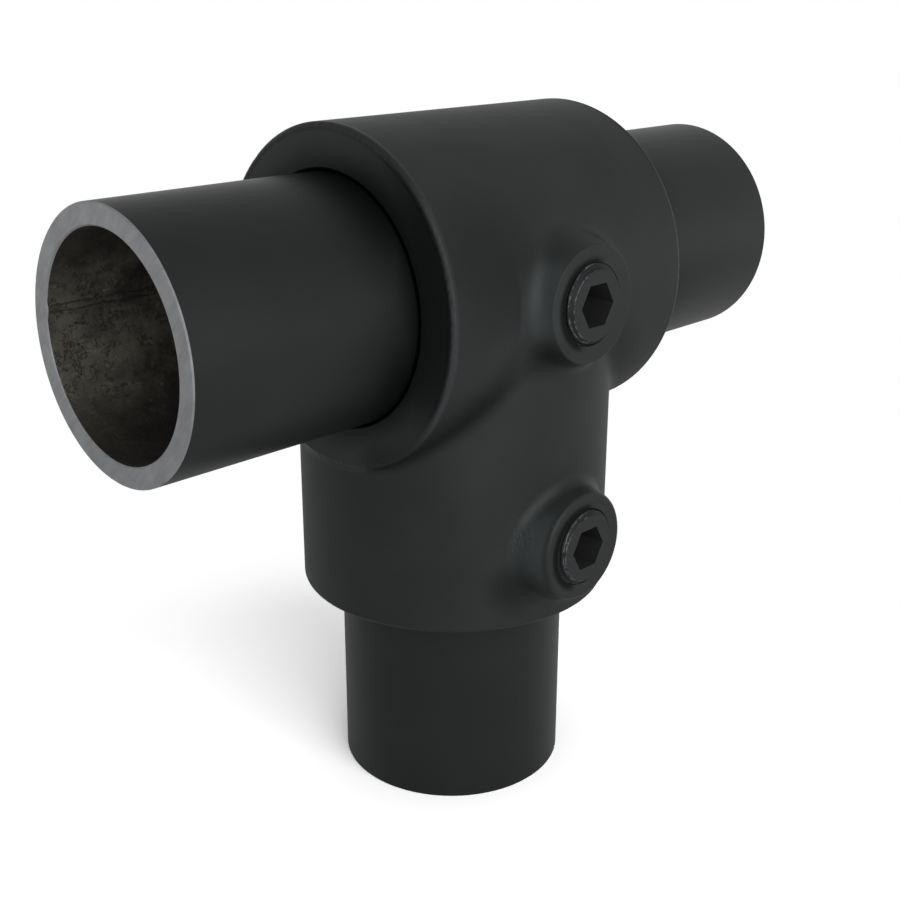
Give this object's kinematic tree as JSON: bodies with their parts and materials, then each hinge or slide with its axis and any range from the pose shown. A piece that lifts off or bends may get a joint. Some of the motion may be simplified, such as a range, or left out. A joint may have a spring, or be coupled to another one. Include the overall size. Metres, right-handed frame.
{
  "type": "tube clamp tee fitting",
  "caption": "Black cast tee that clamps a through tube and a square leg tube with hexagon socket set screws, shown with short tube ends in place.",
  "frame": {"origin": "where the axes of the run tube and the leg tube cross, on the run tube's axis", "axes": "+X along the run tube, -Z down the leg tube, both set screws face -Y"},
  "size_m": [0.1586, 0.0709, 0.1426],
  "materials": {
    "cast_black": "satin powder coat",
    "tube_black": "smooth satin",
    "screw_black": "satin"
  },
  "bodies": {
    "root": {"tee_body": "cast_black", "run_tube": "tube_black", "leg_tube": "tube_black", "run_set_screw": "screw_black", "leg_set_screw": "screw_black"}
  },
  "joints": []
}
